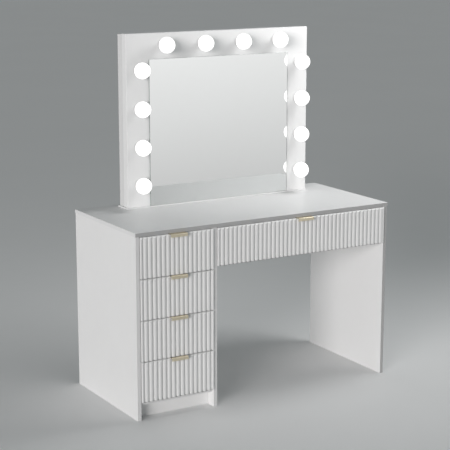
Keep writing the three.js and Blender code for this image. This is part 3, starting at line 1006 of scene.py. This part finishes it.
def cabinet_rail(drawer, side):
    node = f"{drawer}_runner_{side}"
    low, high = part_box(node)
    sheet, flange, web = CHANNEL_SHEET, high.x - low.x, high.z - low.z
    section = [(0, 0), (flange, 0), (flange, CHANNEL_LIP), (flange - sheet, CHANNEL_LIP),
               (flange - sheet, sheet), (sheet, sheet), (sheet, web), (0, web)]
    wall, inward = (low.x, 1) if side == "left" else (high.x, -1)
    outline = rounded([(wall + inward * x, low.z + z) for x, z in section], CHANNEL_BEND)
    add_piece(f"{drawer}_cabinet_rail_{side}", prism(outline, "y", low.y, high.y, RAIL_END),
              [POWDER], "desk", [node])
    spots = [(wall + inward * sheet, low.y + y, low.z + 23.6 * mm) for y in RAIL_HOLES]
    add_screws(f"{drawer}_rail_screws_{side}", spots, (inward, 0, 0), RAIL_SCREW)
    spot = (wall + inward * 5.6 * mm, low.y + 12 * mm, low.z + 10.9 * mm)
    add_roller(f"{drawer}_front_roller_{side}", spot, "desk")


def drawer_rail(drawer, side):
    low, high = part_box(f"{drawer}_box")
    rail_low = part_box(f"{drawer}_runner_{side}")[0]
    face, outward = (low.x, -1) if side == "left" else (high.x, 1)
    gap, half = 0.15 * mm, RAIL_SHEET / 2
    web, foot = face + outward * (gap + half), low.z - gap - half
    shelf = rail_low.z + 19.2 * mm + half
    path = [(face - outward * 11 * mm, foot), (web, foot), (web, shelf),
            (face + outward * 9.2 * mm, shelf)]
    outline = bent_strip(path, RAIL_SHEET, 1.0 * mm, 4)
    solid = prism(outline, "y", low.y + 1 * mm, high.y - 1 * mm, RAIL_END)
    add_piece(f"{drawer}_drawer_rail_{side}", solid, [POWDER], drawer)
    spot = (face + outward * 6.9 * mm, high.y - 14 * mm, rail_low.z + 9.7 * mm)
    add_roller(f"{drawer}_rear_roller_{side}", spot, drawer)


for drawer in DRAWERS:
    for side in ("left", "right"):
        cabinet_rail(drawer, side)
        drawer_rail(drawer, side)
print("rails:", 4 * len(DRAWERS), "and rollers:", 4 * len(DRAWERS))

# %% [markdown]
# # The mirror's boards
# The mirror unit is a thick front board with twelve holes, a wiring box behind it, and a thin
# strip that it stands on. The holes are drilled with one cutter that holds all twelve, so that
# they line up with the lamps in the frame.

# %% Front board, strip and wiring box
LAMPS = sorted(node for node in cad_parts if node.startswith("lamp_"))
HOLE_RADIUS = 20 * mm
MIRROR_EDGE = 1.2 * mm
board_low, board_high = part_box("mirror_front_board")


def lamp_place(lamp):
    low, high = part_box(lamp)
    return Vector(((low.x + high.x) / 2, board_low.y, (low.z + high.z) / 2))


front_board = add_piece("mirror_frame_board", board_from("mirror_front_board", MIRROR_EDGE),
                        [LIT_MIRROR_BOARD, MIRROR_BAND], "desk", ["mirror_front_board"])
drill = [(0, -2 * mm), (HOLE_RADIUS, -2 * mm), (HOLE_RADIUS, 40 * mm), (0, 40 * mm)]
cut_away(front_board, turned(drill, [lamp_place(lamp) for lamp in LAMPS], (0, 1, 0), 40))

add_piece("mirror_foot_strip", board_from("mirror_base_strip"), [LIT_MIRROR_BOARD, MIRROR_BAND], "desk",
          ["mirror_base_strip"])
for side in ("left", "right", "top"):
    node = f"mirror_box_{side}"
    add_piece(f"wiring_box_{side}", board_from(node), [SHADED_BOX_BOARD, MIRROR_BAND], "desk",
              [node])
add_piece("wiring_box_cover", eased_copy("mirror_back_cover", HARDBOARD_EDGE), [HARDBOARD], "desk",
          ["mirror_back_cover"])
print("mirror boards done, with", len(LAMPS), "lamp holes")

# %% [markdown]
# # The mirror glass
# The glass is a single sheet glued to the board, so it stands proud by its own thickness and
# shows its ground edge as a thin dark line. The rim faces get the edge finish.

# %% Glass
GLASS_ROUNDING = 0.6 * mm
glass = add_piece("mirror_sheet", board_from("mirror_glass", GLASS_ROUNDING), [SILVERING, GLASS_EDGE],
                  "desk", ["mirror_glass"])
print("glass faces:", len(glass.data.polygons))

# %% [markdown]
# # Lamps
# Each lamp is a plated screw cap, a plastic collar and a smooth opal globe, turned as one form
# with three finishes. It sits in a plastic holder whose flange hides the hole. The globe's points
# carry a number for how strongly they glow, which falls off near the collar. The globes glow for
# the eye and the mirror but don't light the board behind them, which the panels outshine.

# %% Lamp profile
GLOBE_RADIUS = 33 * mm
GLOBE_REACH = 45 * mm
GLOBE_STEPS = 24
COLLAR_RADIUS = 14 * mm
COLLAR_START, GLOBE_START = -2.4 * mm, 14.3 * mm  # measured forwards from the board's face
GLOW_START, GLOW_REACH = 14 * mm, 14 * mm


def lamp_profile():
    cap = [(0, -24), (3.5, -24), (3.5, -22.6), (9.5, -21.5), (12.0, -20.0)]
    for turn in range(4):
        cap += [(12.9, -18.6 + 3.6 * turn), (12.9, -17.6 + 3.6 * turn),
                (11.8, -16.6 + 3.6 * turn), (11.8, -15.8 + 3.6 * turn)]
    collar = [(12.2, -2.6), (13.2, -2.2), (13.6, 0), (13.9, 12.4), (13.4, 12.9), (13.4, 13.6),
              (13.9, 14.2)]
    start = math.asin(COLLAR_RADIUS / GLOBE_RADIUS)
    globe = []
    for step in range(GLOBE_STEPS + 1):
        angle = start + (math.pi - start) * step / GLOBE_STEPS
        across = 0 if step == GLOBE_STEPS else GLOBE_RADIUS * math.sin(angle)
        globe.append((across, GLOBE_REACH - GLOBE_RADIUS * math.cos(angle)))
    return scaled(cap + collar, mm) + globe


def add_lamp(lamp):
    place = lamp_place(lamp)
    solid = turned(lamp_profile(), [place], (0, -1, 0), 48)
    paint_faces(solid, 1, lambda face: place.y - face.calc_center_median().y > COLLAR_START)
    paint_faces(solid, 2, lambda face: place.y - face.calc_center_median().y > GLOBE_START)
    piece = add_piece(f"globe_{lamp}", solid, [ZINC, WHITE_PLASTIC, OPAL], "desk", [lamp])
    piece.visible_diffuse = False
    mark_points(piece.data, "lamp_glow",
                lambda y: min(max((place.y - y - GLOW_START) / GLOW_REACH, 0.0), 1.0))


HOLDER = [(0, -25), (13.5, -25), (13.5, 0.9), (14.3, 1.6), (20.8, 1.5), (21.5, 1.1), (21.5, 0.15),
          (19.3, 0.15), (19.3, -28), (0, -28)]
for lamp in LAMPS:
    add_lamp(lamp)
    holder = turned(scaled(HOLDER, mm), [lamp_place(lamp)], (0, -1, 0), 40)
    add_piece(f"holder_{lamp}", holder, [WHITE_PLASTIC], "desk")
print("lamps:", len(LAMPS))

# %% [markdown]
# # Brackets, inlet and the last screws
# Two steel angles hold the mirror unit to the desk, the cover is screwed on round its rim, and a
# small mains inlet with two round pins sits in the cover's lower corner. These are behind the
# table, but a real table has them and the part is seen from all sides.

# %% Brackets
BRACKET_SHEET = 2 * mm
BRACKET_BEND = 2.2 * mm
BRACKET_EDGE = 0.4 * mm
BRACKET_SCREW = 3.6 * mm
for side in ("left", "right"):
    node = f"mirror_bracket_{side}"
    low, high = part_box(node)
    half = BRACKET_SHEET / 2
    path = [(low.y + half, high.z), (low.y + half, low.z + half), (high.y, low.z + half)]
    outline = bent_strip(path, BRACKET_SHEET, BRACKET_BEND)
    add_piece(f"angle_bracket_{side}", prism(outline, "x", low.x, high.x, BRACKET_EDGE), [POWDER],
              "desk", [node])
    middle = (low.x + high.x) / 2
    columns = (middle - 10 * mm, middle + 10 * mm)
    upright = [(x, low.y + BRACKET_SHEET, low.z + 44 * mm) for x in columns]
    lying = [(x, low.y + 26 * mm, low.z + BRACKET_SHEET) for x in columns]
    add_screws(f"bracket_wall_screws_{side}", upright, (0, 1, 0), BRACKET_SCREW)
    add_screws(f"bracket_foot_screws_{side}", lying, (0, 0, 1), BRACKET_SCREW)
print("brackets done")

# %% Cover screws and inlet
RIM = 8 * mm
COVER_SCREW, INLET_SCREW = 3.0 * mm, 2.6 * mm
INLET_EDGE = 0.6 * mm
PIN = [(0, -14.2), (1.15, -14.2), (1.15, -3.6), (0.8, -3.1), (0, -3.0)]
cover_low, cover_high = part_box("mirror_back_cover")
left, right = cover_low.x + RIM, cover_high.x - RIM
bottom, top = cover_low.z + 20 * mm, cover_high.z - RIM
rim_spots = [(left + (right - left) * step / 5, cover_high.y, top) for step in range(6)]
for share in (0.0, 0.34, 0.67):
    height = bottom + (top - bottom) * share
    rim_spots += [(left, cover_high.y, height), (right, cover_high.y, height)]
add_screws("cover_screws", rim_spots, (0, 1, 0), COVER_SCREW)

add_piece("mains_inlet", eased_copy("power_inlet", INLET_EDGE), [BLACK_PLASTIC], "desk",
          ["power_inlet"])
inlet_low, inlet_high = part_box("power_inlet")
inlet_x, inlet_z = (inlet_low.x + inlet_high.x) / 2, (inlet_low.z + inlet_high.z) / 2
spots = [(inlet_x + side * 4.3 * mm, inlet_high.y, inlet_z) for side in (-1, 1)]
add_piece("inlet_pins", turned(scaled(PIN, mm), spots, (0, 1, 0), 16), [ZINC], "desk")
flange = [(inlet_x + side * 20 * mm, inlet_high.y, inlet_z) for side in (-1, 1)]
add_screws("inlet_screws", flange, (0, 1, 0), INLET_SCREW)
print("cover screws:", len(rim_spots), "and the inlet")

# %% [markdown]
# # Floor and studio
# A pale matt floor runs far behind the table, so that no horizon shows. The light is soft. A dim,
# slightly cool sky fills everything, and a broad low window light from the front left lights the
# fronts and the side. A weak panel on the left helps the side, and a small panel overhead on the
# right lights the top and the mirror, where each lamp throws a soft shadow down to the left.

# %% Floor
FLOOR_SIZE = 120.0


def studio_sheet(name, width, height, material):
    """A flat rectangle with its middle at the origin."""
    signs = ((-1, -1), (1, -1), (1, 1), (-1, 1))
    mesh = bpy.data.meshes.new(name)
    mesh.from_pydata([(x * width / 2, y * height / 2, 0.0) for x, y in signs], [], [(0, 1, 2, 3)])
    mesh.materials.append(material)
    return put_in_scene(name, mesh)


floor_paint = coated("studio_floor", grey(0.88), grey(0.865), 0.7, (0.7, 0.8),
                     (300.0, 0.5, 0.1, 0.0001), 0.2)
floor = studio_sheet("studio_floor", FLOOR_SIZE, FLOOR_SIZE, floor_paint)
print("floor:", FLOOR_SIZE, "m each way")

# %% Sky, window light and light panels
bpy.context.scene.view_settings.view_transform = "Standard"
COOL_SKY, SKY_STRENGTH = (0.92, 1.0, 1.01, 1.0), 0.21
WARM_WINDOW = (1.0, 0.972, 0.965)
WINDOW_SPREAD = 0.5  # in radians, which makes the window's shadows soft
LIGHT_AWAY = 5.0
world = bpy.data.worlds.new("studio_sky")
world.use_nodes = True
sky = world.node_tree.nodes["Background"].inputs
sky["Color"].default_value = COOL_SKY
sky["Strength"].default_value = SKY_STRENGTH
bpy.context.scene.world = world


def hang_light(name, kind, place, towards, power, **settings):
    data = bpy.data.lights.new(name, kind)
    data.energy = power
    for label, value in settings.items():
        setattr(data, label, value)
    lamp = put_in_scene(name, data)
    lamp.location = place
    lamp.rotation_euler = (Vector(towards) - Vector(place)).to_track_quat("-Z", "Y").to_euler()
    lamp.visible_camera = False
    print("light:", name, power)


hang_light("side_panel", "AREA", (-4.0, -0.6, 1.2), (0.0, 0.0, 0.7), 5.0,
           shape="RECTANGLE", size=2.5, size_y=2.2)
hang_light("overhead_panel", "AREA", (1.0, -0.25, 2.1), (0.5, 0.0, 0.75), 13.5,
           shape="RECTANGLE", size=0.7, size_y=0.7)
turn, rise = math.radians(35.0), math.radians(5.0)  # round from the left, and above the floor
level = math.cos(rise)
window = Vector((-math.cos(turn) * level, -math.sin(turn) * level, math.sin(rise)))
hang_light("window_light", "SUN", window * LIGHT_AWAY, (0.0, 0.0, 0.0), 2.8,
           color=WARM_WINDOW, angle=WINDOW_SPREAD)

# %% [markdown]
# # A card for the mirror
# A mirror shows whatever stands opposite. In a studio that is a large graded card, bright at the
# top and dimmer below, so that the glass reads as glass and not as a hole. The card here only
# shows in reflections, and neither lights the table nor appears in the picture.

# %% Graded card
CARD_WIDTH, CARD_HEIGHT = 2.0, 1.6
CARD_PLACE = Vector((1.78, -2.83, 0.62))
GLASS_MIDDLE = Vector((0.02, 0.157, 0.62))
SIDEWAYS_SHADE = 0.16


def card_paper():
    material = bpy.data.materials.new("graded_card")
    material.use_nodes = True
    tree = material.node_tree
    tree.nodes.clear()
    spot = add_node(tree, "ShaderNodeSeparateXYZ", {"Vector": own_place(tree)}).outputs
    rising = spread(tree, spot["Y"], -CARD_HEIGHT / 2, CARD_HEIGHT / 2)
    across = spread(tree, spot["X"], CARD_WIDTH / 2, -CARD_WIDTH / 2, 0.0, SIDEWAYS_SHADE)
    shade = blend_colour(tree, total(tree, rising, across), grey(0.50), grey(1.0))
    glow = add_node(tree, "ShaderNodeEmission", {"Color": shade, "Strength": 1.0})
    add_node(tree, "ShaderNodeOutputMaterial", {"Surface": glow.outputs["Emission"]})
    return material


card = studio_sheet("graded_card", CARD_WIDTH, CARD_HEIGHT, card_paper())
card.location = CARD_PLACE
card.rotation_euler = (CARD_PLACE - GLASS_MIDDLE).to_track_quat("Z", "Y").to_euler()
card.visible_camera = card.visible_diffuse = card.visible_shadow = False
print("graded card:", CARD_WIDTH, "by", CARD_HEIGHT, "m")

# %% [markdown]
# Pieces made
# The number of pieces made is printed.

# %% Count of pieces
print("pieces made:", len(made_pieces))
